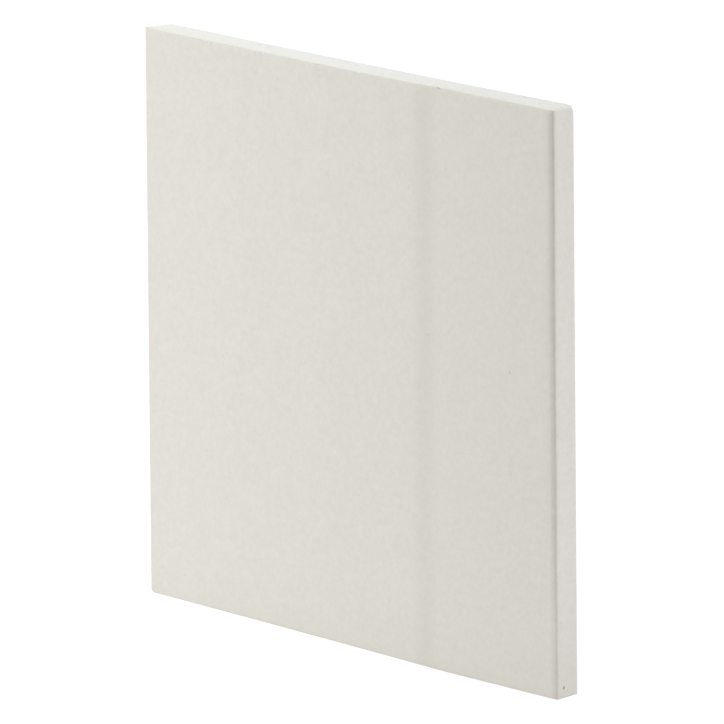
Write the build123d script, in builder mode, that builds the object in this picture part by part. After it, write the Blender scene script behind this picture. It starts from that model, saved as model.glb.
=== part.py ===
from build123d import *

import os

# Cut square of tapered-edge drywall, lying on its back with the face up.
# X runs across the sheet towards the factory edge, Y along that edge, Z through the thickness.
# The origin is the middle of the back face.

# Driving dimensions, in millimetres

# Overall size of the piece
sheet_width = 225.0
sheet_length = 212.0
sheet_thickness = 12.5

# Factory edge, from the flat field outwards: a soft bend, a long ramp and a rounded shoulder
bend_width = 14.0
bend_drop = 0.8
ramp_width = 57.5
ramp_drop = 0.8
shoulder_width = 4.5
shoulder_drop = 1.8

# Fold of the paper where the factory edge meets the back
back_fold_radius = 0.5

# Two corners that handling has rubbed round, as seen from above
cut_corner_radius = 1.5
factory_corner_radius = 0.8

# Places along the section, worked out from the sizes above
edge_x = sheet_width / 2
shoulder_x = edge_x - shoulder_width
ramp_x = shoulder_x - ramp_width
bend_x = ramp_x - bend_width

ramp_z = sheet_thickness - bend_drop
shoulder_z = ramp_z - ramp_drop
side_z = shoulder_z - shoulder_drop

# Sheet: its section drawn across the factory edge and run along the length
with BuildPart() as drywall_sheet:
    with BuildSketch(Plane.XZ):
        with BuildLine():
            Line((-edge_x, 0), (-edge_x, sheet_thickness))
            Line((-edge_x, sheet_thickness), (bend_x, sheet_thickness))
            Spline(
                (bend_x, sheet_thickness),
                (ramp_x, ramp_z),
                tangents=((1, 0), (ramp_width, -ramp_drop)),
            )
            Line((ramp_x, ramp_z), (shoulder_x, shoulder_z))
            EllipticalCenterArc(
                (shoulder_x, side_z), shoulder_width, shoulder_drop, start_angle=0, arc_size=90
            )
            Line((edge_x, side_z), (edge_x, back_fold_radius))
            CenterArc(
                (edge_x - back_fold_radius, back_fold_radius), back_fold_radius, start_angle=0, arc_size=-90
            )
            Line((edge_x - back_fold_radius, 0), (-edge_x, 0))
        make_face()
    extrude(amount=sheet_length / 2, both=True)

    # Outline from above: square cut corners, but for the two worn ones at opposite ends of a diagonal
    with BuildSketch(Plane.XY):
        Rectangle(sheet_width, sheet_length)
        fillet(vertices().sort_by(lambda corner: corner.X + corner.Y)[0], cut_corner_radius)
        fillet(vertices().sort_by(lambda corner: corner.X + corner.Y)[-1], factory_corner_radius)
    extrude(amount=sheet_thickness, mode=Mode.INTERSECT)

drywall_sheet.part.label = "drywall_sheet"

os.makedirs("parts", exist_ok=True)
export_step(drywall_sheet.part, "parts/drywall_sheet.step")

box = drywall_sheet.part.bounding_box()
print(f"drywall_sheet {box.size.X:.2f} x {box.size.Y:.2f} x {box.size.Z:.2f} mm")
print(f"volume {drywall_sheet.part.volume / 1000:.1f} cm3")
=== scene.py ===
# %% [markdown]
# A cut piece of tapered-edge drywall.
# Drywall is a gypsum core in a paper jacket, made as one endless ribbon and cut to size. This piece was
# cut out by hand along one factory edge, so three of its sides show the core and the fourth is wrapped.
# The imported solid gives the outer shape, lying on its back with the face up. It is loaded first, and every
# piece below is built around it in metres, in the same place, so nothing is fitted afterwards.

# %% Load the sheet as a fixed frame
import math

import bpy
import numpy as np
from mathutils import Matrix, Vector


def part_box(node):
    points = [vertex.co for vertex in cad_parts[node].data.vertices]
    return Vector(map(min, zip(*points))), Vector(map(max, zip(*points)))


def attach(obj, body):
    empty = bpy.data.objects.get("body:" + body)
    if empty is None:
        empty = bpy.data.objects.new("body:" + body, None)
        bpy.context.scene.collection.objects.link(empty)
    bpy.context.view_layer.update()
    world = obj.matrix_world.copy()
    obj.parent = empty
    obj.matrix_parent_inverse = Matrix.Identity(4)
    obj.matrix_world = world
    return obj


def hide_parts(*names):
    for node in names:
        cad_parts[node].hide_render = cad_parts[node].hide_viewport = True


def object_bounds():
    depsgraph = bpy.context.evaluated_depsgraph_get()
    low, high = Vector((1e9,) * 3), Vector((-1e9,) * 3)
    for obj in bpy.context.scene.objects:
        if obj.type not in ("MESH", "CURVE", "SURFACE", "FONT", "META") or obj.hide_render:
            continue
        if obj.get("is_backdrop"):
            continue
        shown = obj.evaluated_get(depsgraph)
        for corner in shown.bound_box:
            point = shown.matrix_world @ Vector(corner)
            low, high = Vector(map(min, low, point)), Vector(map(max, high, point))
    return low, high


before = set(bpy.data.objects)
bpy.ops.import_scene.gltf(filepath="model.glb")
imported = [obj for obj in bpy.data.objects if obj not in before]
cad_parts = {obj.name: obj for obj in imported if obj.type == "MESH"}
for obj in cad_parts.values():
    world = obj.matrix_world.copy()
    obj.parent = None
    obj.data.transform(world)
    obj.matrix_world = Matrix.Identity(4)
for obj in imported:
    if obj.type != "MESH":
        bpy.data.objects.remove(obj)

solid_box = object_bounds()
sheet_low, sheet_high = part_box("drywall_sheet")
width, length, thickness = sheet_high - sheet_low
mm = 0.001
print(f"sheet {width / mm:.1f} x {length / mm:.1f} x {thickness / mm:.2f} mm")

# %% [markdown]
# The picture is taken with a long lens from a few metres away, which keeps opposite edges nearly parallel.
# Its angles are easiest to say with the sheet held upright: the lens stands well round to the side of the
# factory edge and a little above. The sheet lies flat here, so the same view looks down on it, and the
# sheet's length is the upward direction of the picture. A camera could be aimed with a Track To
# constraint, but that can't roll it, so its place and its turns are written straight into its matrix.

# %% Camera
view_yaw = math.radians(50.2)
view_pitch = math.radians(12.06)
view_roll = math.radians(-0.63)
view_distance = 3.7576
view_slip_right = -6.29 * mm
view_slip_down = -1.27 * mm
focal_length_pixels = 10431
picture_pixels = 724
sensor_width_mm = 36

turn_to_side = Matrix.Rotation(-view_yaw, 4, "Y")
turn_above = Matrix.Rotation(view_pitch, 4, "X")
turn_level = Matrix.Rotation(-view_roll, 4, "Z")
step_back = Matrix.Translation((view_slip_right, -view_slip_down, -view_distance))
sheet_to_view = step_back @ turn_level @ turn_above @ turn_to_side
aim = Vector((0, 0, sheet_high.z))

camera_data = bpy.data.cameras.new("long_lens")
camera_data.sensor_width = sensor_width_mm
camera_data.lens = focal_length_pixels / picture_pixels * sensor_width_mm
camera = bpy.data.objects.new("long_lens", camera_data)
camera.matrix_world = Matrix.Translation(aim) @ sheet_to_view.inverted()
bpy.context.scene.collection.objects.link(camera)
bpy.context.scene.camera = camera
print("camera at", [round(v, 3) for v in camera.matrix_world.translation], "m")
print(f"lens {camera_data.lens:.1f} mm")

# %% [markdown]
# The floor is a plain white table. Under soft light even a white table goes grey beside whatever lies on
# it, and here the white should run right up to the sheet's edges. So the table is a dim grey surface that
# also glows. The glow keeps it white and lights the cuts and the wrapped side from below, as a white table
# does, and the grey keeps the shadows on it faint. A plane that only glows would show no shadow at all.

# %% Table
floor_half = 6.0
floor_drop = 0.3 * mm
table_grey = 0.15
table_roughness = 0.9
table_glow = 0.93

floor_mesh = bpy.data.meshes.new("floor")
floor_signs = [(-1, -1), (1, -1), (1, 1), (-1, 1)]
floor_corners = [(x * floor_half, y * floor_half, -floor_drop) for x, y in floor_signs]
floor_mesh.from_pydata(floor_corners, [], [(0, 1, 2, 3)])
floor = bpy.data.objects.new("floor", floor_mesh)
bpy.context.scene.collection.objects.link(floor)
floor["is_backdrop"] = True

floor_material = bpy.data.materials.new("white_table")
floor_material.use_nodes = True
floor_look = floor_material.node_tree.nodes["Principled BSDF"].inputs
floor_look["Base Color"].default_value = (table_grey, table_grey, table_grey, 1)
floor_look["Roughness"].default_value = table_roughness
floor_look["Specular IOR Level"].default_value = 0.0
floor_look["Emission Color"].default_value = (1, 1, 1, 1)
floor_look["Emission Strength"].default_value = table_glow
floor_mesh.materials.append(floor_material)
print(f"table {2 * floor_half:.0f} m wide, {floor_drop / mm:.1f} mm under the sheet")

# %% [markdown]
# Three softboxes, which are area lights, do most of the work, and a dim white sky fills the rest. A long
# strip hangs over the cut side. It runs along the sheet, so the face stays even from end to end, and it
# hangs to one side, so the face fades slowly towards the factory edge. A small box beyond the far end
# lights the bare core there, and another stands low and faces the wrapped edge. The shoulder between face
# and wrapped edge looks at none of them, and so it shows as a dark line. Point lights would be simpler,
# but their hard light would pick out every grain of the paper. The Standard view transform is chosen
# because the filmic ones, made to hold very bright light, would turn white paper grey.

# %% Studio light
studio_sky = 0.37

# Each softbox: its place, its length and breadth, all in metres, and its watts
softboxes = {
    "cut_side_light": ((-0.4, -0.1, 0.7), (1.6, 0.3), 5.64),
    "far_end_light": ((-0.3, 1.0, 0.4), (0.4, 0.4), 2.5),
    "wrapped_side_light": ((1.1, -0.1, 0.12), (0.4, 0.4), 2.99),
}


def hang_softbox(name, place, size, watts):
    """A soft light that faces the middle of the sheet and stays out of the picture."""
    data = bpy.data.lights.new(name, "AREA")
    data.shape = "RECTANGLE"
    data.size, data.size_y = size
    data.energy = watts
    light = bpy.data.objects.new(name, data)
    light.location = place
    light.rotation_mode = "QUATERNION"
    light.rotation_quaternion = (Vector(place) - aim).to_track_quat("Z", "Y")
    light.visible_camera = False
    bpy.context.scene.collection.objects.link(light)
    print(f"{name}: {size[0]} x {size[1]} m, {watts} W")


for name, (place, size, watts) in softboxes.items():
    hang_softbox(name, place, size, watts)

world = bpy.data.worlds.new("studio")
world.use_nodes = True
sky = world.node_tree.nodes["Background"].inputs
sky["Color"].default_value = (1, 1, 1, 1)
sky["Strength"].default_value = studio_sky
bpy.context.scene.world = world

view_settings = bpy.context.scene.view_settings
view_settings.view_transform = "Standard"
view_settings.look = "None"

# %% [markdown]
# The sheet's shape is one line, drawn across it from the cut side to the factory edge. The face runs flat,
# dips in a soft bend, slopes gently on, turns over a rounded shoulder and drops to the back. Two sheets side
# by side then leave a shallow trough for tape and filler. The face paper follows that line, folds under the
# edge and ends in a flap on the back, where the back paper laps over it. The sizes are those of the solid.
# The line could be drawn as a Bezier curve, but a formula for each stretch keeps the sizes in plain sight.
# The bend is a softened step that leaves the field level and meets the ramp at its slope. The shoulder is a
# quarter of an ellipse, with its points spaced by equal turns of the surface so that its tight end stays
# round. Points crowd towards the cut side, where the knife has left the finest shapes.

# %% Line of the face paper
bend_width = 14.0 * mm
bend_drop = 0.8 * mm
ramp_width = 57.5 * mm
ramp_drop = 0.8 * mm
shoulder_width = 4.5 * mm
shoulder_drop = 1.8 * mm
back_fold_radius = 0.5 * mm
paper_thickness = 0.4 * mm
flap_width = 22.0 * mm
flap_dip_width = 7.0 * mm
back_paper_margin = 12.0 * mm
field_crowding = 2.2
line_steps = {"field": 56, "bend": 16, "ramp": 16, "shoulder": 24, "side": 24, "fold": 8, "flap": 14}

cut_x = sheet_low.x
edge_x = sheet_high.x
shoulder_x = edge_x - shoulder_width
ramp_x = shoulder_x - ramp_width
bend_x = ramp_x - bend_width
side_z = thickness - bend_drop - ramp_drop - shoulder_drop


def shares(stretch):
    """The ends of a stretch's equal steps, from 0 to 1, without the start."""
    return np.linspace(0, 1, line_steps[stretch] + 1)[1:]


def stretch_points(x, z):
    """Points (x, z), where either of the two may be the same all along."""
    return np.column_stack(np.broadcast_arrays(x, z))


def smooth(share):
    """A smooth step from 0 to 1."""
    share = np.clip(share, 0, 1)
    return share * share * (3 - 2 * share)


def face_paper_line():
    """The outside of the face paper, from the cut side over the face to the flap on the back."""
    across = np.concatenate(([0], shares("field"))) ** field_crowding
    field = stretch_points(cut_x + across * (bend_x - cut_x), thickness)

    s = shares("bend")
    end_slope = ramp_drop / ramp_width * bend_width
    soft_step = s**3 * (10 - 15 * s + 6 * s**2)
    drop = soft_step * bend_drop + (s**3 - s**2) * end_slope
    bend = stretch_points(bend_x + s * bend_width, thickness - drop)

    s = shares("ramp")
    ramp = stretch_points(ramp_x + s * ramp_width, thickness - bend_drop - s * ramp_drop)

    turn = shares("shoulder") * math.pi / 2
    swing = np.arctan2(shoulder_width * np.sin(turn), shoulder_drop * np.cos(turn))
    shoulder_out = shoulder_x + shoulder_width * np.sin(swing)
    shoulder = stretch_points(shoulder_out, side_z + shoulder_drop * np.cos(swing))

    side = stretch_points(edge_x, side_z + shares("side") * (back_fold_radius - side_z))

    turn = shares("fold") * math.pi / 2
    fold_in = edge_x - back_fold_radius * (1 - np.cos(turn))
    fold = stretch_points(fold_in, back_fold_radius * (1 - np.sin(turn)))

    inward = back_fold_radius + shares("flap") * (flap_width - back_fold_radius)
    dip_start = back_paper_margin - flap_dip_width
    tuck = smooth((inward - dip_start) / flap_dip_width) * paper_thickness
    flap = stretch_points(edge_x - inward, tuck)
    return np.vstack((field, bend, ramp, shoulder, side, fold, flap))


face_line = face_paper_line()
print(f"face paper line: {len(face_line)} points, taper {(edge_x - bend_x) / mm:.1f} mm wide")

# %% [markdown]
# The next steps build node trees, some for geometry and some for materials. Clicking them together in the
# editor shows more at a glance, but a script can be read, changed and run again. Each node is made by the
# same small helper, which sets its options and then joins or fills its inputs, so that a tree reads from
# top to bottom like a recipe. Sums, vectors and the three kinds of Map Range get helpers of their own.

# %% Helpers for node trees
def fill(tree, socket, value):
    """Join an input to another node's output, or give it a plain value."""
    if isinstance(value, bpy.types.NodeSocket):
        tree.links.new(value, socket)
    else:
        socket.default_value = value


def add(tree, kind, inputs=None, **options):
    """Make one node: set its options, then fill the inputs given by name or by number."""
    made = tree.nodes.new(kind)
    for option, value in options.items():
        setattr(made, option, value)
    for key, value in (inputs or {}).items():
        if isinstance(key, int):
            socket = made.inputs[key]
        else:
            socket = next(s for s in made.inputs if s.name == key and s.enabled)
        fill(tree, socket, value)
    return made


def calc(tree, operation, *values):
    """One Math node, from sockets or plain numbers."""
    return add(tree, "ShaderNodeMath", dict(enumerate(values)), operation=operation).outputs[0]


def total(tree, first, *others):
    """All the values added up."""
    for value in others:
        first = calc(tree, "ADD", first, value)
    return first


def times(tree, first, *others):
    """All the values multiplied."""
    for value in others:
        first = calc(tree, "MULTIPLY", first, value)
    return first


def vec(tree, operation, first, second=None):
    """One Vector Math node."""
    inputs = {0: first}
    if second is not None:
        inputs["Scale" if operation == "SCALE" else 1] = second
    made = add(tree, "ShaderNodeVectorMath", inputs, operation=operation)
    return made.outputs["Value" if operation in ("LENGTH", "DISTANCE") else "Vector"]


def split(tree, place):
    """The x, y and z of a place."""
    return add(tree, "ShaderNodeSeparateXYZ", {0: place}).outputs


def fade(tree, value, start, end):
    """A smooth step that is 1 at start and 0 at end."""
    span = {"Value": value, "From Min": start, "From Max": end, "To Min": 1.0, "To Max": 0.0}
    return add(tree, "ShaderNodeMapRange", span, interpolation_type="SMOOTHSTEP").outputs[0]


def between(tree, value, low, high):
    """Where a value lies between two others, as a share from 0 to 1."""
    span = {"Value": value, "From Min": low, "From Max": high}
    return add(tree, "ShaderNodeMapRange", span).outputs[0]


def mixed(tree, share, low, high):
    """The value that goes from low to high as a share goes from 0 to 1."""
    span = {"Value": share, "To Min": low, "To Max": high}
    return add(tree, "ShaderNodeMapRange", span).outputs[0]


def half_widths_away(tree, place, spot, half_widths):
    """How far a place is from a spot, counted in the spot's half-widths."""
    return vec(tree, "LENGTH", vec(tree, "DIVIDE", vec(tree, "SUBTRACT", place, spot), half_widths))


print("node helpers ready")

# %% [markdown]
# Nobody cuts a sample perfectly square. A knife guided by hand wanders by a few tenths of a millimetre, and
# where it leaned, the cut runs differently along the face and along the back. So each of the three cuts
# gets two freehand lines, drawn as Float Curves, and the cut passes evenly from one to the other through
# the thickness. Two opposite corners have been rubbed round, and the one at the factory edge is rounder at
# the back. All the pieces have to follow, or the paper would part from the core, so this is one node group
# that the other trees use. Moving the points by a rule is safer than trimming with booleans, because no
# face is lost. A corner is rounded by drawing each point of its square towards the square's inner corner
# until the outer sides have become an arc.

# %% How far each cut strays
# At each share of its run, how many millimetres the cut lies outwards of square
far_cut_face = [
    (0.0, 0.64), (0.04, 0.26), (0.12, 0.15), (0.3, 0.1), (0.44, 0.02), (0.6, 0.06),
    (0.68, 0.14), (0.76, 0.28), (0.81, 0.1), (0.92, 0.08), (1.0, -0.1),
]
far_cut_back = [
    (0.0, 0.22), (0.05, 0.28), (0.12, 0.22), (0.34, 0.1), (0.5, 0.15), (0.62, 0.2),
    (0.75, 0.27), (0.88, 0.5), (1.0, 0.53),
]
near_cut_face = [
    (0.0, 0.22), (0.35, 0.13), (0.57, 0.21), (0.68, 0.31),
    (0.72, 0.71), (0.83, 0.57), (0.93, 0.41), (0.98, 0.32), (1.0, 0.85),
]
near_cut_back = [(0.0, -0.2), (0.5, -0.35), (1.0, -0.1)]
cut_side_face = [(0.0, 1.17), (0.5, 0.45), (1.0, -0.38)]
cut_side_back = [(0.0, 0.9), (0.5, 0.2), (1.0, -0.6)]

cut_lines = (far_cut_face, far_cut_back, near_cut_face, near_cut_back, cut_side_face, cut_side_back)
print("the knife strays by up to", max(abs(out) for line in cut_lines for _, out in line), "mm")

# %% Helpers for freehand lines
stray_limit = 1.5 * mm


def start_tree(name, inputs):
    """A geometry tree with named inputs. Returns the tree and its two end nodes' sockets."""
    tree = bpy.data.node_groups.new(name, "GeometryNodeTree")
    tree.interface.new_socket("Geometry", in_out="OUTPUT", socket_type="NodeSocketGeometry")
    tree.interface.new_socket("Geometry", in_out="INPUT", socket_type="NodeSocketGeometry")
    for label, kind in inputs.items():
        tree.interface.new_socket(label, in_out="INPUT", socket_type="NodeSocket" + kind)
    return tree, add(tree, "NodeGroupInput").outputs, add(tree, "NodeGroupOutput").inputs


def shifted(tree, geometry, offset):
    """The geometry with each point moved."""
    return add(tree, "GeometryNodeSetPosition", {"Geometry": geometry, "Offset": offset}).outputs[0]


def freehand(tree, share, line):
    """How far a freehand line strays outwards at a share of its run. The curve's middle is no stray."""
    curve = add(tree, "ShaderNodeFloatCurve", {"Value": share})
    points = curve.mapping.curves[0].points
    for place, _ in line[1:-1]:
        points.new(place, 0.5)
    for point, (place, out) in zip(points, line):
        point.location = (place, 0.5 + 0.5 * out * mm / stray_limit)
    curve.mapping.update()
    return mixed(tree, curve.outputs[0], -stray_limit, stray_limit)


def stray(tree, share, through, face, back):
    """How far outwards a cut strays, from its line along the back to its line along the face."""
    return mixed(tree, through, freehand(tree, share, back), freehand(tree, share, face))


print(f"freehand lines stay within {stray_limit / mm} mm")

# %% Node group: how the knife cut it
cut_corner_radius = 1.5 * mm
factory_corner_radius = 0.8 * mm
factory_corner_back_radius = 2.7 * mm


def knife_cut_group():
    """Lets the three cuts stray and rounds two corners."""
    labels = ("Cut corner radius", "Factory corner radius", "Factory corner back radius")
    tree, given, result = start_tree("knife_cut", {label: "Float" for label in labels})
    cut_radius, front_radius, back_radius = [given[label] for label in labels]
    x, y, z = split(tree, add(tree, "GeometryNodeInputPosition").outputs[0])
    half_length = length / 2

    # The radius of the nearest corner
    through = between(tree, z, 0.0, thickness)
    on_cut_side = calc(tree, "LESS_THAN", x, 0.0)
    radius = mixed(tree, on_cut_side, mixed(tree, through, back_radius, front_radius), cut_radius)

    # How far a point lies into its corner's square, from 0 at the square's inner sides
    into = []
    for value, limit in ((x, edge_x), (y, half_length)):
        inner = calc(tree, "SUBTRACT", limit, radius)
        past = calc(tree, "SUBTRACT", calc(tree, "ABSOLUTE", value), inner)
        into.append(calc(tree, "MAXIMUM", past, 0.0))
    reach = calc(tree, "SQRT", total(tree, *[times(tree, v, v) for v in into]))
    drawn_in = calc(tree, "SUBTRACT", calc(tree, "DIVIDE", calc(tree, "MAXIMUM", *into), reach), 1.0)
    on_diagonal = calc(tree, "GREATER_THAN", times(tree, x, y), 0.0)
    corner_x = times(tree, drawn_in, on_diagonal, into[0], calc(tree, "SIGN", x))
    corner_y = times(tree, drawn_in, on_diagonal, into[1], calc(tree, "SIGN", y))

    # Each cut's stray, dying out towards the middle of the sheet
    across = between(tree, x, cut_x, edge_x)
    along = between(tree, y, -half_length, half_length)
    far = stray(tree, across, through, far_cut_face, far_cut_back)
    far = times(tree, far, between(tree, y, 0.0, half_length))
    near = stray(tree, across, through, near_cut_face, near_cut_back)
    near = times(tree, near, between(tree, y, 0.0, -half_length))
    side = stray(tree, along, through, cut_side_face, cut_side_back)
    side = times(tree, side, between(tree, x, bend_x, cut_x))

    move_x = calc(tree, "SUBTRACT", corner_x, side)
    move_y = calc(tree, "SUBTRACT", total(tree, corner_y, far), near)
    move = add(tree, "ShaderNodeCombineXYZ", {0: move_x, 1: move_y}).outputs[0]
    fill(tree, result["Geometry"], shifted(tree, given["Geometry"], move))
    return tree


knife_cut = knife_cut_group()
print("knife cut group:", len(knife_cut.nodes), "nodes")

# %% [markdown]
# Both trees below end alike: the piece is cut by the knife group, and its edges are kept crisp. Smooth
# shading alone would blur the square edges of a cut, and flat shading would show every facet of the
# shoulder, so only edges that turn sharply stay hard. Some more short helpers keep values on a mesh under
# a name and look them up again.

# %% Helpers for geometry trees
sharp_turn = math.radians(50)

# A hollow has its full depth inside the first share of its radius and ends at the second
hollow_edge = 0.2, 1.0


def stored(tree, name, kind):
    """A value that the mesh carries under a name."""
    return add(tree, "GeometryNodeInputNamedAttribute", {"Name": name}, data_type=kind).outputs[0]


def keep(tree, geometry, name, value, kind, domain):
    """The geometry, carrying a value under a name."""
    note = {"Geometry": geometry, "Name": name, "Value": value}
    return add(tree, "GeometryNodeStoreNamedAttribute", note, data_type=kind, domain=domain).outputs[0]


def looked_up(tree, geometry, value, index, kind):
    """A value of one point of another geometry."""
    find = {"Geometry": geometry, "Value": value, "Index": index}
    return add(tree, "GeometryNodeSampleIndex", find, data_type=kind).outputs[0]


def cut_by_knife(tree, geometry):
    """The geometry after the knife cut group, with this piece's sizes."""
    sizes = {"Geometry": geometry, "Cut corner radius": cut_corner_radius}
    sizes["Factory corner radius"] = factory_corner_radius
    sizes["Factory corner back radius"] = factory_corner_back_radius
    return add(tree, "GeometryNodeGroup", sizes, node_tree=knife_cut).outputs[0]


def crisp_shading(tree, geometry):
    """Smooth shading everywhere but at sharp edges."""
    soft = {"Geometry": geometry, "Shade Smooth": True}
    soft = add(tree, "GeometryNodeSetShadeSmooth", soft, domain="FACE").outputs[0]
    turn = add(tree, "GeometryNodeInputMeshEdgeAngle").outputs["Unsigned Angle"]
    is_sharp = calc(tree, "GREATER_THAN", turn, sharp_turn)
    crisp = {"Geometry": soft, "Selection": is_sharp, "Shade Smooth": False}
    return add(tree, "GeometryNodeSetShadeSmooth", crisp, domain="EDGE").outputs[0]


def cut_and_whole(tree, geometry):
    """The last steps of a piece before its material: cut, shaded and realized."""
    shaped = crisp_shading(tree, cut_by_knife(tree, geometry))
    return add(tree, "GeometryNodeRealizeInstances", {"Geometry": shaped}).outputs[0]


print("sharp edges turn by more than", round(math.degrees(sharp_turn)), "degrees")

# %% [markdown]
# The two papers are the same thing, a thin sheet laid along a line and run from end to end. That is a rule,
# so Geometry Nodes do it. A flat grid gets one column for each point of the line, each column takes its
# place from that point, and the rows crowd towards the two ends, where the shape is finest. The knife
# presses the paper down a little along each cut and leaves the edge slightly ragged, and a nick can be
# pushed into it. Last, the sheet is extruded inwards by the paper's thickness and closed, and the narrow
# faces along the cuts get a finish of their own, because the inside of the paper is not the colour of
# its surface. A Solidify modifier would do the thickness too, but inside the tree the cut faces are
# already known.

# %% Sheet laid along a line
ragged_grain = 900.0
ragged_reach = 2.0 * mm


def paper_laid(tree, given):
    """The sheet without thickness, and how far each point is from the nearest end and from the cut side."""
    line, rows = given["Geometry"], given["Rows"]

    # One column of the grid for each point of the line
    counted = add(tree, "GeometryNodeAttributeDomainSize", {"Geometry": line}, component="MESH")
    size = {"Vertices X": counted.outputs["Point Count"], "Vertices Y": rows}
    grid = add(tree, "GeometryNodeMeshGrid", size).outputs["Mesh"]
    index = add(tree, "GeometryNodeInputIndex").outputs[0]
    column = calc(tree, "FLOOR", calc(tree, "DIVIDE", index, rows))
    row = calc(tree, "SUBTRACT", index, times(tree, column, rows))
    here = add(tree, "GeometryNodeInputPosition").outputs[0]
    place = looked_up(tree, line, here, column, "FLOAT_VECTOR")
    from_cut = looked_up(tree, line, stored(tree, "from_cut", "FLOAT"), column, "FLOAT")
    line_x, _, line_z = split(tree, place)

    # Rows from end to end, closest together at the ends
    share = calc(tree, "DIVIDE", row, calc(tree, "SUBTRACT", rows, 1.0))
    swing = calc(tree, "SINE", mixed(tree, share, -math.pi / 2, math.pi / 2))
    half_length = times(tree, given["Length"], 0.5)
    along = times(tree, swing, half_length)
    from_end = calc(tree, "SUBTRACT", half_length, calc(tree, "ABSOLUTE", along))

    # A ragged cut: the ends and the cut side wander by a hair
    noise = {"Vector": place, "W": along, "Scale": ragged_grain}
    noise = add(tree, "ShaderNodeTexNoise", noise, noise_dimensions="4D").outputs[0]
    wander = times(tree, calc(tree, "SUBTRACT", noise, 0.5), given["Ragged cut"])
    end_wander = times(tree, wander, calc(tree, "SIGN", along), fade(tree, from_end, 0.0, ragged_reach))
    side_wander = times(tree, wander, fade(tree, from_cut, 0.0, ragged_reach))
    spot = {0: calc(tree, "SUBTRACT", line_x, side_wander), 1: total(tree, along, end_wander), 2: line_z}
    spot = add(tree, "ShaderNodeCombineXYZ", spot).outputs[0]
    laid = add(tree, "GeometryNodeSetPosition", {"Geometry": grid, "Position": spot}).outputs[0]
    return laid, from_end, from_cut


print(f"ragged edges reach {ragged_reach / mm} mm in from a cut")

# %% Node tree: paper laid along a line
pressed_width = 0.7 * mm
same_point = 0.001 * mm


def paper_pressed(tree, given, laid, from_end, from_cut):
    """The sheet pressed down along its cuts, with the nick."""
    near_cut = fade(tree, calc(tree, "MINIMUM", from_end, from_cut), 0.0, pressed_width)
    press = times(tree, near_cut, given["Pressed depth"])
    here = add(tree, "GeometryNodeInputPosition").outputs[0]
    apart = half_widths_away(tree, here, given["Nick place"], given["Nick size"])
    nick = times(tree, fade(tree, apart, *hollow_edge), given["Nick depth"])
    outward = add(tree, "GeometryNodeInputNormal").outputs[0]
    inward = times(tree, total(tree, press, nick), -1.0)
    return shifted(tree, laid, vec(tree, "SCALE", outward, inward))


def paper_thickened(tree, given, outside):
    """The closed paper: the same sheet again further in, turned over, with walls along its rim."""
    depth = times(tree, given["Thickness"], -1.0)
    inner = {"Mesh": outside, "Offset Scale": depth, "Individual": False}
    inner = add(tree, "GeometryNodeExtrudeMesh", inner).outputs
    inside = add(tree, "GeometryNodeFlipFaces", {"Mesh": inner["Mesh"]}).outputs[0]
    inside = keep(tree, inside, "rim", inner["Side"], "BOOLEAN", "FACE")
    shell = add(tree, "GeometryNodeJoinGeometry")
    tree.links.new(inside, shell.inputs[0])
    tree.links.new(outside, shell.inputs[0])
    closed = {"Geometry": shell.outputs[0], "Distance": same_point}
    return add(tree, "GeometryNodeMergeByDistance", closed).outputs[0]


def paper_tree():
    """Lays a sheet of paper along the line that the object's own mesh draws."""
    inputs = {"Rows": "Int", "Length": "Float", "Thickness": "Float"}
    inputs |= {"Pressed depth": "Float", "Ragged cut": "Float", "Nick depth": "Float"}
    inputs |= {"Nick place": "Vector", "Nick size": "Vector"}
    inputs |= {"Surface": "Material", "Cut edge": "Material"}
    tree, given, result = start_tree("paper_along_a_line", inputs)
    outside = paper_pressed(tree, given, *paper_laid(tree, given))
    whole = cut_and_whole(tree, paper_thickened(tree, given, outside))
    faced = {"Geometry": whole, "Material": given["Surface"]}
    faced = add(tree, "GeometryNodeSetMaterial", faced).outputs[0]
    edged = {"Geometry": faced, "Selection": stored(tree, "rim", "BOOLEAN"), "Material": given["Cut edge"]}
    fill(tree, result["Geometry"], add(tree, "GeometryNodeSetMaterial", edged).outputs[0])
    return tree


paper_along_a_line = paper_tree()
print("paper tree:", len(paper_along_a_line.nodes), "nodes")

# %% [markdown]
# A material's first job here is to look like paper without a picture of paper. Each finish below starts from
# one plain colour and multiplies it by a sum of small changes, such as slow clouds, a mottle of felted
# fibres and fine grain. Object coordinates in millimetres feed every pattern, so a value such as 0.5 reads
# as one blotch in two millimetres, and the pattern goes round the edge without a seam.

# %% Helpers for finishes
grain_roughness = 0.55
fibre_detail = 1.0
fibre_curl = 2.0
wobbles_per_mm = 1.6


def start_finish(name, roughness, specular):
    """A new material. Returns it, its tree, its shader and the place on the sheet in millimetres."""
    material = bpy.data.materials.new(name)
    material.use_nodes = True
    tree = material.node_tree
    shader = tree.nodes["Principled BSDF"]
    shader.inputs["Roughness"].default_value = roughness
    shader.inputs["Specular IOR Level"].default_value = specular
    place = vec(tree, "SCALE", add(tree, "ShaderNodeTexCoord").outputs["Object"], 1 / mm)
    return material, tree, shader, place


def centred(tree, noise, swing):
    """Noise from 0 to 1, spread over -swing to +swing."""
    return times(tree, calc(tree, "SUBTRACT", noise, 0.5), 2 * swing)


def grain(tree, place, per_mm, detail, swing):
    """Noise with so many blotches to the millimetre, from -swing to +swing."""
    look = {"Vector": place, "Scale": per_mm, "Detail": detail, "Roughness": grain_roughness}
    return centred(tree, add(tree, "ShaderNodeTexNoise", look).outputs[0], swing)


def fibres(tree, place, per_mm, swing):
    """Noise pulled into short curling strokes, like fibres in felt, from -swing to +swing."""
    look = {"Vector": place, "Scale": per_mm, "Detail": fibre_detail, "Distortion": fibre_curl}
    return centred(tree, add(tree, "ShaderNodeTexNoise", look).outputs[0], swing)


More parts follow.
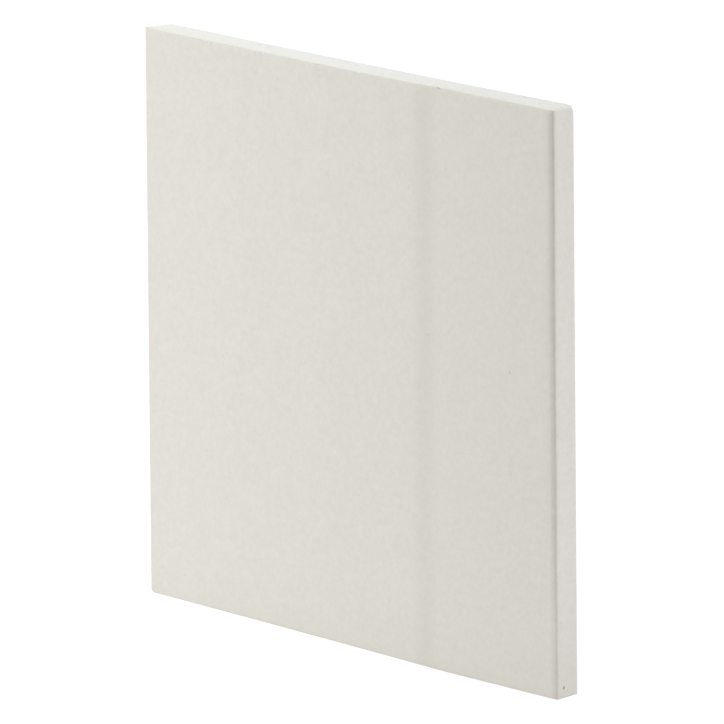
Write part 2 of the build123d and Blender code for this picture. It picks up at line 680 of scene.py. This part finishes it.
def specks(tree, place, spacing, radius, share):
    """Tiny round spots in a share of the cells of a Voronoi pattern: 1 in a spot, 0 elsewhere."""
    cells = add(tree, "ShaderNodeTexVoronoi", {"Vector": place, "Scale": 1 / spacing}).outputs
    pick = add(tree, "ShaderNodeSeparateColor", {0: cells["Color"]}).outputs[0]
    spot = fade(tree, cells["Distance"], 0.5 * radius / spacing, radius / spacing)
    return times(tree, spot, calc(tree, "LESS_THAN", pick, share))


def wobbled(tree, place):
    """The place, moved about by a fraction of a millimetre, which gives round spots a ragged outline."""
    shake = add(tree, "ShaderNodeTexNoise", {"Vector": place, "Scale": wobbles_per_mm}).outputs["Color"]
    return vec(tree, "ADD", place, vec(tree, "SUBTRACT", shake, (0.5, 0.5, 0.5)))


def tinted(tree, colour, change):
    """The colour, made lighter or darker by the change."""
    return vec(tree, "SCALE", colour, total(tree, change, 1.0))


def blend(tree, share, under, over):
    """One colour laid over another."""
    made = add(tree, "ShaderNodeMix", data_type="RGBA")
    for socket, value in zip([s for s in made.inputs if s.enabled], (share, under, over)):
        fill(tree, socket, value)
    return next(s for s in made.outputs if s.enabled)


def relief(tree, shader, height, depth_mm, strength):
    """Bump from a height between about -1 and 1."""
    bump = {"Height": height, "Distance": depth_mm * mm, "Strength": strength}
    fill(tree, shader.inputs["Normal"], add(tree, "ShaderNodeBump", bump).outputs[0])


print("finish helpers ready")

# %% [markdown]
# The face paper is ivory, matt and felted from bleached fibres. Up close it is not one colour: it has broad
# pale clouds, a mottle of one or two millimetres, curling fibres, fine grain and faint pricks. Each is one
# noise, and the amounts are small, because together they change the brightness by only a few hundredths.
# The stretch that wraps the factory edge is a trace greyer than the face.

# %% Ivory paper as it was made
ivory = (0.758, 0.734, 0.681)
wrapped_ivory = (0.744, 0.72, 0.682)
prick_change = -0.03


def clean_paper(tree, place, wrapped):
    """The colour of the paper before any handling."""
    clouds = grain(tree, place, per_mm=0.09, detail=2, swing=0.016)
    mottle = grain(tree, place, per_mm=0.43, detail=3, swing=0.06)
    felt = fibres(tree, place, per_mm=0.8, swing=0.035)
    fine = grain(tree, place, per_mm=1.5, detail=2, swing=0.034)
    pricks = specks(tree, wobbled(tree, place), spacing=2.6, radius=0.6, share=0.5)
    pricks = times(tree, prick_change, pricks)
    base = blend(tree, wrapped, (*ivory, 1), (*wrapped_ivory, 1))
    return tinted(tree, base, total(tree, clouds, mottle, felt, fine, pricks))


print("ivory", ivory, "and where it wraps the edge", wrapped_ivory)

# %% [markdown]
# The face is darker and browner along the near cut, most at its edge, fading out over three centimetres,
# and less so at the cut side. Shade is painted into the crease of the bend, and the ramp is a trace darker.
# A tint could be painted on an image, but a few smooth steps along x and y say the same and never blur.

# %% Darkening and painted shade on the face
# The brown of the darkening on the face and of the shade painted into its crease
brown_darkening_colour = (0.55, 0.5, 0.38, 1)

# Layers at the near cut: the share, the y where it is full and the y where it is gone, in millimetres
near_cut_darkening = [(0.08, -108.0, -80.0), (0.05, -106.5, -101.0), (0.12, -106.4, -105.0)]
full_darkening_x = -30.0
least_darkening_x = -110.0
least_darkening = 0.55

# The crease, where shade is painted: its x in the middle of the sheet, and how much that grows with y
crease_x = 44.5
crease_lean = 0.012
crease_half_width = 8.5
crease_far_y, crease_far_shade = 20.0, 0.125
crease_near_y, crease_near_shade = -60.0, 0.1
ramp_darkening_x = 60.0
field_end_x = 46.0
ramp_darkening = 0.018


def face_darkened(tree, place, unwrapped, colour):
    """The paper darker and browner at the near cut and on the ramp, with painted shade in the crease."""
    x, y, _ = split(tree, place)
    # Darker and browner towards the near cut, less so at the cut side
    layers = [times(tree, share, fade(tree, y, full, gone)) for share, full, gone in near_cut_darkening]
    over_width = mixed(tree, fade(tree, x, full_darkening_x, least_darkening_x), least_darkening, 1.0)
    at_near_cut = times(tree, total(tree, *layers), over_width)

    # Painted shade in the crease of the bend, a little darker towards the far cut
    crease = calc(tree, "MULTIPLY_ADD", y, crease_lean, crease_x)
    off_crease = calc(tree, "ABSOLUTE", calc(tree, "SUBTRACT", x, crease))
    towards_far = fade(tree, y, crease_far_y, crease_near_y)
    crease_shade = mixed(tree, towards_far, crease_near_shade, crease_far_shade)
    crease_painted_shade = times(tree, crease_shade, fade(tree, off_crease, 0.0, crease_half_width))
    # The ramp a trace darker
    on_ramp = times(tree, ramp_darkening, unwrapped, fade(tree, x, ramp_darkening_x, field_end_x))
    return blend(tree, total(tree, at_near_cut, crease_painted_shade, on_ramp), colour, brown_darkening_colour)


print(len(near_cut_darkening), "layers of darkening at the near cut, and painted shade in the crease at x =", crease_x)

# %% [markdown]
# The shoulder carries painted shade: a brown tint with shade where it meets the wrapped side, and a dark
# line along its turn, unevenly so. Towards the near end it is painted lighter. The wrapped side is darker
# at that end too, most of all at its rim. Each streak is drawn by its distance from a line that runs along
# the sheet. An edge mask from Geometry's pointiness could find the shoulder by itself, but it depends on
# the mesh, and it would darken the cuts as well.

# %% Painted shade and light along the shoulder
# Brown tint for the shade painted where the shoulder meets the wrapped side
brown_and_shade_colour = (0.6, 0.47, 0.42, 1)

# Painted shade along the shoulder: a brown-tinted streak, a dark one and one along the turn
# Streaks along the sheet: their line's x and z, then the distances from it where they are full and gone
brown_and_shade_streak = (112.5, 9.0), (0.3, 1.6)
dark_shade_streak = (112.32, 9.5), (0.2, 0.9)
turn_shade_streak = (111.55, 10.2), (0.15, 1.5)

# Strength in the middle of the sheet, and how much it grows with each millimetre of y
brown_and_shade_share, brown_and_shade_growth = 0.12, 0.0006
dark_shade_change, dark_shade_growth = -0.062, -0.0003

# Spans in millimetres: where a change is full, and where it is gone
streaks_end = 104.8, 105.6
turn_shade_darkest = -20.0, -85.0
painted_light_across = 1.0, 3.0
painted_light_along = -90.0, 10.0
dull_side_along = -106.0, -50.0
dull_rim_along = -105.9, -105.3

turn_shade_change, turn_darkest_shade_change = -0.042, -0.092
# Painted light on the shoulder towards the near end: its middle x and its change
painted_light_middle_x, painted_light_change = 110.4, 0.022
dull_side_change = -0.05
dull_rim_change = -0.16
rim_lean = 0.08


def streak(tree, x, z, line, reach):
    """How strongly a streak along the sheet shows at a place."""
    apart = [calc(tree, "SUBTRACT", value, middle) for value, middle in zip((x, z), line)]
    return fade(tree, calc(tree, "SQRT", total(tree, *[times(tree, v, v) for v in apart])), *reach)


def shoulder_painted_shade_and_light(tree, place, wrapped, unwrapped, colour):
    """The paper with painted shade and light on the shoulder, and the wrapped side darker at the near end."""
    x, y, z = split(tree, place)
    # A brown tint with painted shade where the shoulder meets the wrapped side
    brown_and_shade = calc(tree, "MULTIPLY_ADD", y, brown_and_shade_growth, brown_and_shade_share)
    colour = blend(tree, times(tree, streak(tree, x, z, *brown_and_shade_streak), brown_and_shade), colour, brown_and_shade_colour)

    # Painted shade along the shoulder's turn, uneven, ending just short of the far cut
    uneven = total(tree, 1.0, grain(tree, place, per_mm=0.2, detail=2, swing=0.35))
    showing = times(tree, uneven, fade(tree, y, *streaks_end))
    dark = calc(tree, "MULTIPLY_ADD", y, dark_shade_growth, dark_shade_change)
    dark = times(tree, dark, streak(tree, x, z, *dark_shade_streak), showing)
    turn_shade = mixed(tree, fade(tree, y, *turn_shade_darkest), turn_shade_change, turn_darkest_shade_change)
    turn_shade = times(tree, turn_shade, streak(tree, x, z, *turn_shade_streak), showing)

    # Painted light: the shoulder lighter towards the near end
    off_middle = calc(tree, "ABSOLUTE", calc(tree, "SUBTRACT", x, painted_light_middle_x))
    pale = times(tree, fade(tree, off_middle, *painted_light_across), fade(tree, y, *painted_light_along))
    pale = times(tree, pale, unwrapped, painted_light_change)
    # The wrapped side darker towards the near end, most of all at its rim
    dull_side = times(tree, dull_side_change, wrapped, fade(tree, y, *dull_side_along))
    rim = calc(tree, "MULTIPLY_ADD", z, rim_lean, y)
    dull_rim = times(tree, dull_rim_change, wrapped, fade(tree, rim, *dull_rim_along))
    return tinted(tree, colour, total(tree, dark, turn_shade, pale, dull_side, dull_rim))


print("three streaks along the shoulder")

# %% [markdown]
# Along the far cut the paper is painted lighter where its pressed edge turns up to the light, most of all on
# the taper, and gypsum dust clings to the wrapped side. The marks that catch the eye are listed one by one,
# each
# with its place on the sheet, its half-widths, its strength and its colour, and the rest are scattered by a
# Voronoi pattern. Listed one by one they stay where they are, while a lucky noise seed would move them all
# as soon as one number changed.

# %% Far cut and marks
# Pale colour: painted light along the far cut, and a pale spot on the shoulder
pale_fibre_and_light_colour = (0.86, 0.82, 0.72, 1)
dust_colour = (0.85, 0.86, 0.8, 1)

# Spans in millimetres: where a change is full, and where it is gone
far_cut_light_along = 106.3, 104.9
far_cut_light_most_across = 60.0, 20.0
dust_along = 106.0, 104.4

far_cut_light_share, far_cut_light_most_share = 0.07, 0.32
dust_share = 0.55
speck_colour = (0.24, 0.21, 0.17, 1)
speck_share = 0.2
rust_colour = (0.36, 0.25, 0.12, 1)
rust_halo_colour = (0.62, 0.46, 0.42, 1)
torn_colour = (0.2, 0.14, 0.08, 1)
# Near-black painted shade for the inside of the hole
hole_shade_colour = (0.05, 0.05, 0.045, 1)
nick_place = (112.5, -102.68, 6.48)

# A mark is full inside the first share of its half-widths and gone outside the second
mark_edge = 0.3, 1.2
hand_marks = [
    # Three dark specks
    ((56.2, 77.6, 11.6), (0.42, 0.45, 0.6), 0.3, speck_colour),
    ((89.8, 8.8, 11.2), (0.5, 0.75, 0.6), 0.3, speck_colour),
    ((73.8, -101.0, 11.4), (0.3, 0.3, 0.6), 0.3, speck_colour),
    # A rusty fleck in the bend, with a halo
    ((45.4, 15.8, 11.9), (2.0, 0.5, 0.8), 0.1, rust_colour),
    ((46.2, 13.9, 11.9), (2.2, 1.5, 0.8), 0.05, rust_halo_colour),
    # Two faint smudges on the field
    ((-57.7, 0.7, 12.5), (2.2, 1.6, 2.0), 0.05, speck_colour),
    ((-32.4, -24.2, 12.5), (2.6, 1.4, 2.0), 0.05, speck_colour),
    # A long scuff on the ramp
    ((90.0, -25.0, 11.2), (1.5, 7.5, 0.8), 0.035, rust_colour),
    # A smudge and a rubbed spot on the shoulder
    ((111.8, -42.0, 10.1), (0.8, 4.0, 0.8), 0.08, speck_colour),
    ((112.2, 33.0, 9.7), (0.7, 2.5, 0.7), 0.12, pale_fibre_and_light_colour),
    # A torn fleck on the far cut, and a brown tip where the shoulder meets it
    ((52.6, 106.2, 11.6), (1.1, 0.35, 0.35), 0.6, torn_colour),
    ((112.3, 105.5, 9.1), (0.7, 0.4, 0.9), 0.2, rust_colour),
    # The hole in the wrapped side, painted near-black as the shade inside it
    (nick_place, (0.5, 0.75, 0.42), 0.95, hole_shade_colour),
]


def far_cut_lit_and_dusty(tree, place, wrapped, unwrapped, colour):
    """The paper with painted light along the far cut, and dust."""
    x, y, _ = split(tree, place)
    # Painted light along the far cut, strongest on the taper
    far_cut_light = mixed(tree, fade(tree, x, *far_cut_light_most_across), far_cut_light_share, far_cut_light_most_share)
    far_cut_light = times(tree, far_cut_light, unwrapped, fade(tree, y, *far_cut_light_along))
    dusty = times(tree, dust_share, wrapped, fade(tree, y, *dust_along))
    return blend(tree, dusty, blend(tree, far_cut_light, colour, pale_fibre_and_light_colour), dust_colour)


def marked(tree, place, colour):
    """The paper with its specks and marks, scattered and placed."""
    scattered = specks(tree, place, spacing=3.2, radius=0.24, share=0.08)
    colour = blend(tree, times(tree, speck_share, scattered), colour, speck_colour)
    ragged_place = wobbled(tree, place)
    for spot, half_widths, strength, mark_colour in hand_marks:
        apart = half_widths_away(tree, ragged_place, spot, half_widths)
        shown = times(tree, strength, fade(tree, apart, *mark_edge))
        colour = blend(tree, shown, colour, mark_colour)
    return colour


print(len(hand_marks), "marks placed by hand")

# %% [markdown]
# Now the layers go over each other in this order: clean paper, darkening and painted shade on the face,
# painted shade and light on the shoulder, the far cut, and the marks on top. The paper counts as wrapped
# past a slanting line just below the shoulder. A very shallow bump gives the surface the tooth of felt.

# %% Finish: ivory face paper
# Where z less x, in millimetres, is this low the paper is wholly wrapped, and above the second not at all
wrapped_past = -103.4, -102.9


def face_paper_finish():
    """The ivory paper, from clean to handled."""
    material, tree, shader, place = start_finish("ivory_face_paper", roughness=0.85, specular=0.25)
    x, _, z = split(tree, place)
    wrapped = fade(tree, calc(tree, "SUBTRACT", z, x), *wrapped_past)
    unwrapped = calc(tree, "SUBTRACT", 1.0, wrapped)
    colour = clean_paper(tree, place, wrapped)
    colour = face_darkened(tree, place, unwrapped, colour)
    colour = shoulder_painted_shade_and_light(tree, place, wrapped, unwrapped, colour)
    colour = far_cut_lit_and_dusty(tree, place, wrapped, unwrapped, colour)
    fill(tree, shader.inputs["Base Color"], marked(tree, place, colour))
    tooth = grain(tree, place, per_mm=0.9, detail=3, swing=0.6)
    felt = fibres(tree, place, per_mm=0.8, swing=0.5)
    relief(tree, shader, total(tree, tooth, felt), depth_mm=0.03, strength=0.5)
    return material


ivory_face_paper = face_paper_finish()
print(ivory_face_paper.name, "has", len(ivory_face_paper.node_tree.nodes), "nodes")

# %% [markdown]
# Along a cut the paper shows its inner plies, which are unbleached and read as a thin cream line between the
# face and the core. Dust has whitened the line at the wrapped side. The back paper is plain grey-brown waste
# paper, coarser and more mixed than the face, with pale and dark flecks. Both are made with the same helpers
# as the face, so that the three papers look like one family.

# %% Finishes: cut paper and back paper
cut_ply = (0.82, 0.785, 0.69)
waste_grey = (0.4, 0.36, 0.3)
pale_fleck = (0.62, 0.58, 0.5, 1)
dark_fleck = (0.14, 0.12, 0.1, 1)
fleck_offset = (7.3, 3.1, 5.7)
pale_fleck_share = 0.4
dark_fleck_share = 0.5
dusty_ply_across = 112.0, 110.5
dusty_ply_share = 0.8


def cut_paper_finish():
    """The cream edge of a cut paper."""
    material, tree, shader, place = start_finish("cut_paper_plies", roughness=0.9, specular=0.15)
    plies = grain(tree, place, per_mm=1.5, detail=3, swing=0.12)
    shreds = grain(tree, place, per_mm=6.0, detail=2, swing=0.08)
    x, _, _ = split(tree, place)
    dusty = times(tree, dusty_ply_share, fade(tree, x, *dusty_ply_across))
    colour = blend(tree, dusty, tinted(tree, cut_ply, total(tree, plies, shreds)), dust_colour)
    fill(tree, shader.inputs["Base Color"], colour)
    torn = grain(tree, place, per_mm=5.0, detail=3, swing=1.0)
    relief(tree, shader, torn, depth_mm=0.04, strength=0.6)
    return material


def back_paper_finish():
    """The grey-brown paper of the back."""
    material, tree, shader, place = start_finish("grey_back_paper", roughness=0.88, specular=0.2)
    clouds = grain(tree, place, per_mm=0.05, detail=3, swing=0.06)
    mottle = grain(tree, place, per_mm=0.5, detail=4, swing=0.12)
    felt = fibres(tree, place, per_mm=0.5, swing=0.06)
    colour = tinted(tree, waste_grey, total(tree, clouds, mottle, felt))
    pale = specks(tree, place, spacing=2.4, radius=0.3, share=0.25)
    colour = blend(tree, times(tree, pale_fleck_share, pale), colour, pale_fleck)
    dark = specks(tree, vec(tree, "ADD", place, fleck_offset), spacing=2.8, radius=0.3, share=0.25)
    colour = blend(tree, times(tree, dark_fleck_share, dark), colour, dark_fleck)
    fill(tree, shader.inputs["Base Color"], colour)
    tooth = grain(tree, place, per_mm=0.8, detail=4, swing=0.7)
    felt = fibres(tree, place, per_mm=0.7, swing=0.5)
    relief(tree, shader, total(tree, tooth, felt), depth_mm=0.05, strength=0.6)
    return material


cut_paper_plies = cut_paper_finish()
grey_back_paper = back_paper_finish()
print(cut_paper_plies.name, "and", grey_back_paper.name, "made")

# %% [markdown]
# Now the papers themselves. Each starts as nothing but its line, a string of points and edges, and carries
# one number for each point: how far along the paper the cut side is. The tree turns that into the finished
# sheet. The modifier's inputs are set by their identifiers before anything looks at the object, and the
# evaluated result is then kept as a plain mesh, because instances and live modifiers are easily lost when
# a model is handed on.

# %% Lay the two papers
paper_rows = 241
pressed_depth = 0.12 * mm
ragged_cut = 0.05 * mm
nick_size = (0.6 * mm, 0.8 * mm, 0.45 * mm)
nick_depth = 0.3 * mm
back_paper_short = 0.25 * mm
back_line_points = 61


def carry(mesh, name, kind, domain, field, values):
    """Write a value for each point or face on a mesh, under a name."""
    mesh.attributes.new(name, kind, domain).data.foreach_set(field, values)


def run_tree(piece, tree, values):
    """Run a geometry tree on a piece, keep the result as its plain mesh and drop the modifier."""
    modifier = piece.modifiers.new(tree.name, "NODES")
    modifier.node_group = tree
    for item in tree.interface.items_tree:
        if item.in_out == "INPUT" and item.name in values:
            modifier[item.identifier] = values[item.name]
    bpy.context.view_layer.update()
    evaluated = piece.evaluated_get(bpy.context.evaluated_depsgraph_get())
    finished = bpy.data.meshes.new_from_object(evaluated)
    finished.name = piece.name
    piece.modifiers.remove(modifier)
    piece.data = finished
    triangles = sum(len(polygon.vertices) - 2 for polygon in finished.polygons)
    print(f"{piece.name}: {len(finished.vertices)} points, {triangles} triangles")


def lay_paper(name, line, from_cut, short, surface, nick):
    """A sheet of paper along a line of (x, z) points, cut a little short at both ends."""
    mesh = bpy.data.meshes.new(name)
    mesh.from_pydata([(x, 0, z) for x, z in line], [(i, i + 1) for i in range(len(line) - 1)], [])
    carry(mesh, "from_cut", "FLOAT", "POINT", "value", from_cut.astype(np.float32))
    piece = bpy.data.objects.new(name, mesh)
    bpy.context.scene.collection.objects.link(piece)
    values = {"Rows": paper_rows, "Length": length - 2 * short, "Thickness": paper_thickness}
    values |= {"Pressed depth": pressed_depth, "Ragged cut": ragged_cut, "Nick depth": nick}
    values |= {"Nick place": [v * mm for v in nick_place], "Nick size": nick_size}
    values |= {"Surface": surface, "Cut edge": cut_paper_plies}
    run_tree(piece, paper_along_a_line, values)
    return piece


def distance_along(line):
    """How far along the line each point is, from the first."""
    steps = np.linalg.norm(np.diff(line, axis=0), axis=1)
    return np.concatenate(([0], np.cumsum(steps)))


back_x = np.linspace(edge_x - back_paper_margin, cut_x + back_paper_short, back_line_points)
from_face_cut = distance_along(face_line)
from_back_cut = back_x - back_x[-1]
face_paper = lay_paper("face_paper", face_line, from_face_cut, 0.0, ivory_face_paper, nick_depth)
back_line = stretch_points(back_x, 0.0)
back_paper = lay_paper("back_paper", back_line, from_back_cut, back_paper_short, grey_back_paper, 0.0)
print(f"laid flat, {from_face_cut[-1] / mm:.0f} mm and {from_back_cut[0] / mm:.0f} mm wide")

# %% [markdown]
# The core is the gypsum between the papers, and it shows only on the three cuts. Those need a fine mesh for
# their pits, while the rest is hidden and can stay coarse. A cube that is subdivided all over would spend
# most of its faces out of sight, so the mesh is written by hand: a fine grid on each cut, long strips
# between the two ends, and a fan of thin triangles where the strips meet the cut side. The grids are
# bounded by the papers' inner sides, which are the paper lines moved in by their thickness.

# %% Outline of the gypsum core
core_step = 0.3 * mm
core_recess = 0.03 * mm
glue_gap = 0.01 * mm


def moved_in(line, distance):
    """The line moved towards the inside of the sheet."""
    run = np.gradient(line, axis=0)
    run /= np.linalg.norm(run, axis=1)[:, None]
    return line - distance * np.column_stack((-run[:, 1], run[:, 0]))


def core_outline():
    """Where the core's columns stand, and the lowest and highest point of each."""
    inner = moved_in(face_line, paper_thickness + glue_gap)
    on_side = np.flatnonzero(np.isclose(face_line[:, 0], edge_x, rtol=0, atol=1e-9))
    top = inner[: on_side[0] + 1]
    bottom = inner[on_side[-1]:][::-1]
    steps = round((shoulder_x - cut_x) / core_step)
    field_columns = np.linspace(cut_x + core_recess, shoulder_x, steps)
    shoulder_columns = top[top[:, 0] > shoulder_x][:, 0]
    columns = np.concatenate((field_columns, shoulder_columns))
    high = np.interp(columns, *top.T)
    low = np.interp(columns, *bottom.T)
    low[columns < bottom[0, 0]] = paper_thickness + glue_gap
    return columns, low, high


core_columns, core_low, core_high = core_outline()
core_thickest = (core_high - core_low).max()
print(f"core outline: {len(core_columns)} columns, {core_thickest / mm:.2f} mm at its thickest")

# %% Points of the gypsum core
core_layer_steps = 38
core_layers = np.linspace(0, 1, core_layer_steps + 1)


def core_points():
    """The points of the near end, the far end and the cut side, each a grid with layers upwards."""
    end_y = length / 2 - core_recess
    end_x = np.repeat(core_columns[:, None], len(core_layers), axis=1)
    end_z = core_low[:, None] + core_layers * (core_high - core_low)[:, None]
    near_end = np.stack((end_x, np.full_like(end_x, -end_y), end_z), axis=-1)
    far_end = near_end * (1, -1, 1)
    rows = np.linspace(-end_y, end_y, round(2 * end_y / core_step) + 1)[1:-1]
    cut_side = np.repeat(near_end[:1], len(rows), axis=0)
    cut_side[..., 1] = rows[:, None]
    return near_end, far_end, cut_side


core_grids = core_points()
print("core grids:", " and ".join(f"{grid.shape[0]} x {grid.shape[1]}" for grid in core_grids), "points")

# %% Mesh of the gypsum core
def grid_faces(grid):
    """The four-sided faces of a grid of point numbers."""
    corners = (grid[:-1, :-1], grid[1:, :-1], grid[1:, 1:], grid[:-1, 1:])
    return np.stack(corners, axis=-1).reshape(-1, 4)


def strips(near, far):
    """Long faces from one row of point numbers to another."""
    return np.column_stack((near[:-1], near[1:], far[1:], far[:-1]))


def fan(row, near_corner, far_corner):
    """Triangles from a row of point numbers, half to each of two corners, and one between the halves."""
    middle = len(row) // 2
    corners = [near_corner] * middle + [far_corner] * (len(row) - 1 - middle)
    halves = np.column_stack((corners, row[1:], row[:-1]))
    return np.vstack((halves, (near_corner, far_corner, row[middle])))


def core_mesh():
    """The closed mesh, with the direction into each cut and the share of the height kept on its points."""
    points = np.concatenate([grid.reshape(-1, 3) for grid in core_grids])
    numbers = np.arange(len(points)).reshape(-1, len(core_layers))
    near, far, side = np.split(numbers, [len(core_columns), 2 * len(core_columns)])
    side = np.vstack((near[:1], side, far[:1]))

    cuts = np.vstack((grid_faces(near), grid_faces(far)[:, ::-1], grid_faces(side)[:, ::-1]))
    top = [strips(near[1:, -1], far[1:, -1]), fan(side[:, -1], near[1, -1], far[1, -1])]
    bottom = [strips(near[1:, 0], far[1:, 0]), fan(side[:, 0], near[1, 0], far[1, 0])]
    wall = strips(near[-1], far[-1])[:, ::-1]
    hidden = [*top, *[faces[:, ::-1] for faces in bottom], wall]
    mesh = bpy.data.meshes.new("gypsum_core")
    mesh.from_pydata(points.tolist(), [], sum([faces.tolist() for faces in (cuts, *hidden)], []))

    into = np.zeros((len(points), 3), np.float32)
    into[near[:-1, 1:-1]] = (0, 1, 0)
    into[far[:-1, 1:-1]] = (0, -1, 0)
    into[side[:, 1:-1]] += (1, 0, 0)
    height_share = np.tile(core_layers, len(numbers)).astype(np.float32)
    is_cut = np.arange(len(mesh.polygons)) < len(cuts)
    carry(mesh, "into_cut", "FLOAT_VECTOR", "POINT", "vector", into.ravel())
    carry(mesh, "height_share", "FLOAT", "POINT", "value", height_share)
    carry(mesh, "is_cut", "BOOLEAN", "FACE", "value", is_cut)
    mesh.validate()
    return mesh


gypsum_core = bpy.data.objects.new("gypsum_core", core_mesh())
bpy.context.scene.collection.objects.link(gypsum_core)
print("core mesh:", len(gypsum_core.data.polygons), "faces")

# %% [markdown]
# Bare gypsum is chalk white and slightly cool. Its colour changes little: soft clouds, crumbs, streaks along
# the cut where the blade dragged, bubbles too small to model, and a cream stain where starch from the paper
# has soaked into the core's upper edge. Two attributes of the mesh say where that edge is and where a pit
# lies, so the finish follows the shape. Shade is painted into the bubbles and pits, and the cuts are painted
# a shade darker towards the factory edge. Ambient occlusion could shade the pits too, but it would darken
# every corner with them.

# %% Finish: bare gypsum
chalk = (0.863, 0.868, 0.828)
glue_stain = (0.8, 0.76, 0.66, 1)
streak_stretch = (0.06, 0.06, 1.0)
bubble_shade_change = -0.12
pit_shade_change = -0.16
across_shade_change = -0.021
across_shade_span = 112.5, -50.0
stain_share = 0.47
stain_depth = 1.0, 0.8
bubble_height = -0.8


def gypsum_finish():
    """The chalky core, with shade painted into its pits and towards the factory edge, stained under the face
    paper.
    """
    material, tree, shader, place = start_finish("bare_gypsum", roughness=0.95, specular=0.1)
    clouds = grain(tree, place, per_mm=0.06, detail=3, swing=0.03)
    crumbs = grain(tree, place, per_mm=1.2, detail=4, swing=0.05)
    dragged = vec(tree, "MULTIPLY", place, streak_stretch)
    streaks = grain(tree, dragged, per_mm=0.7, detail=2, swing=0.02)
    bubbles = specks(tree, place, spacing=0.9, radius=0.16, share=0.6)
    pit = add(tree, "ShaderNodeAttribute", attribute_name="pit").outputs["Fac"]
    # Painted shade in the bubbles and the pits
    hollow = total(tree, times(tree, bubble_shade_change, bubbles), times(tree, pit_shade_change, pit))
    # Painted shade: the cuts darker towards the factory edge
    x, _, _ = split(tree, place)
    across_shade = times(tree, across_shade_change, fade(tree, x, *across_shade_span))
    colour = tinted(tree, chalk, total(tree, clouds, crumbs, streaks, hollow, across_shade))
    height_share = add(tree, "ShaderNodeAttribute", attribute_name="height_share").outputs["Fac"]
    stained = times(tree, stain_share, fade(tree, height_share, *stain_depth))
    fill(tree, shader.inputs["Base Color"], blend(tree, stained, colour, glue_stain))
    rough = grain(tree, place, per_mm=1.8, detail=4, swing=0.7)
    rough = total(tree, rough, times(tree, bubble_height, bubbles))
    relief(tree, shader, rough, depth_mm=0.06, strength=0.6)
    return material


bare_gypsum = gypsum_finish()
print(bare_gypsum.name, "made")

# %% [markdown]
# Gypsum for board is foamed, so a cut opens small round pits. They are scattered over the cut faces with a
# fixed seed, most of them tiny, and each point of the mesh looks up the pit nearest to it and is pushed in
# if it lies inside. Subtracting hundreds of balls with booleans would give cleaner rims, but it is slow
# and can leave holes in the mesh. A little noise gives the dragged, chalky surface between the pits. How
# deep a point lies in a pit is kept as an attribute, which the finish reads.

# %% Node tree: pits in the cut gypsum
pit_seed = 11
pits_per_square_metre = 45000.0
pit_smallest = 0.2 * mm
pit_largest = 0.75 * mm
pit_rarity = 4.0
pit_depth_share = 0.55
drag_depth = 0.05 * mm
drag_grain = 700.0
drag_detail = 3.0


def scattered_pits(tree, given):
    """Points on the cut faces, each with the radius of its pit."""
    scatter = {"Mesh": given["Geometry"], "Selection": stored(tree, "is_cut", "BOOLEAN")}
    scatter |= {"Density": given["Pits per area"], "Seed": given["Seed"]}
    pits = add(tree, "GeometryNodeDistributePointsOnFaces", scatter).outputs["Points"]
    draw = add(tree, "FunctionNodeRandomValue", {"Seed": given["Seed"]}, data_type="FLOAT").outputs["Value"]
    radius = mixed(tree, calc(tree, "POWER", draw, pit_rarity), given["Smallest"], given["Largest"])
    return keep(tree, pits, "pit_radius", radius, "FLOAT", "POINT")


def pitted_tree():
    """Presses scattered pits and a dragged surface into the cut faces."""
    inputs = {"Pits per area": "Float", "Smallest": "Float", "Largest": "Float", "Depth share": "Float"}
    inputs |= {"Drag depth": "Float", "Seed": "Int", "Surface": "Material"}
    tree, given, result = start_tree("pitted_cuts", inputs)

    # Each point of the core finds its nearest pit
    pits = scattered_pits(tree, given)
    here = add(tree, "GeometryNodeInputPosition").outputs[0]
    nearest = add(tree, "GeometryNodeSampleNearest", {"Geometry": pits}, domain="POINT").outputs[0]
    centre = looked_up(tree, pits, here, nearest, "FLOAT_VECTOR")
    radius = looked_up(tree, pits, stored(tree, "pit_radius", "FLOAT"), nearest, "FLOAT")
    apart = vec(tree, "DISTANCE", here, centre)
    hollow = fade(tree, calc(tree, "DIVIDE", apart, radius), *hollow_edge)

    # It goes in by the pit's depth there, and a little by the drag of the blade
    drag = add(tree, "ShaderNodeTexNoise", {"Scale": drag_grain, "Detail": drag_detail}).outputs[0]
    pit_depth = times(tree, hollow, radius, given["Depth share"])
    depth = total(tree, pit_depth, times(tree, drag, given["Drag depth"]))
    push = vec(tree, "SCALE", stored(tree, "into_cut", "FLOAT_VECTOR"), depth)
    noted = keep(tree, given["Geometry"], "pit", hollow, "FLOAT", "POINT")
    whole = cut_and_whole(tree, shifted(tree, noted, push))
    finished = {"Geometry": whole, "Material": given["Surface"]}
    fill(tree, result["Geometry"], add(tree, "GeometryNodeSetMaterial", finished).outputs[0])
    return tree


pitted_cuts = pitted_tree()
core_values = {"Pits per area": pits_per_square_metre, "Smallest": pit_smallest, "Largest": pit_largest}
core_values |= {"Depth share": pit_depth_share, "Drag depth": drag_depth}
core_values |= {"Seed": pit_seed, "Surface": bare_gypsum}
run_tree(gypsum_core, pitted_cuts, core_values)

# %% [markdown]
# The three pieces together stand for the one solid, which is then hidden but stays in the scene. The
# sizes of the solid and of the dressed sheet are printed side by side, because the dressing may stray from
# the solid only by the little that the knife did.

# %% Attach the pieces and hide the solid
for piece, finish in ((face_paper, "face_paper"), (gypsum_core, "gypsum_core"), (back_paper, "back_paper")):
    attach(piece, "root")
    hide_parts("drywall_sheet")

sizes = {"cad": [list(corner) for corner in solid_box], "visual": [list(corner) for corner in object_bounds()]}
for model, box in sizes.items():
    print(f"{model} box, mm:", [[round(v / mm, 2) for v in corner] for corner in box])
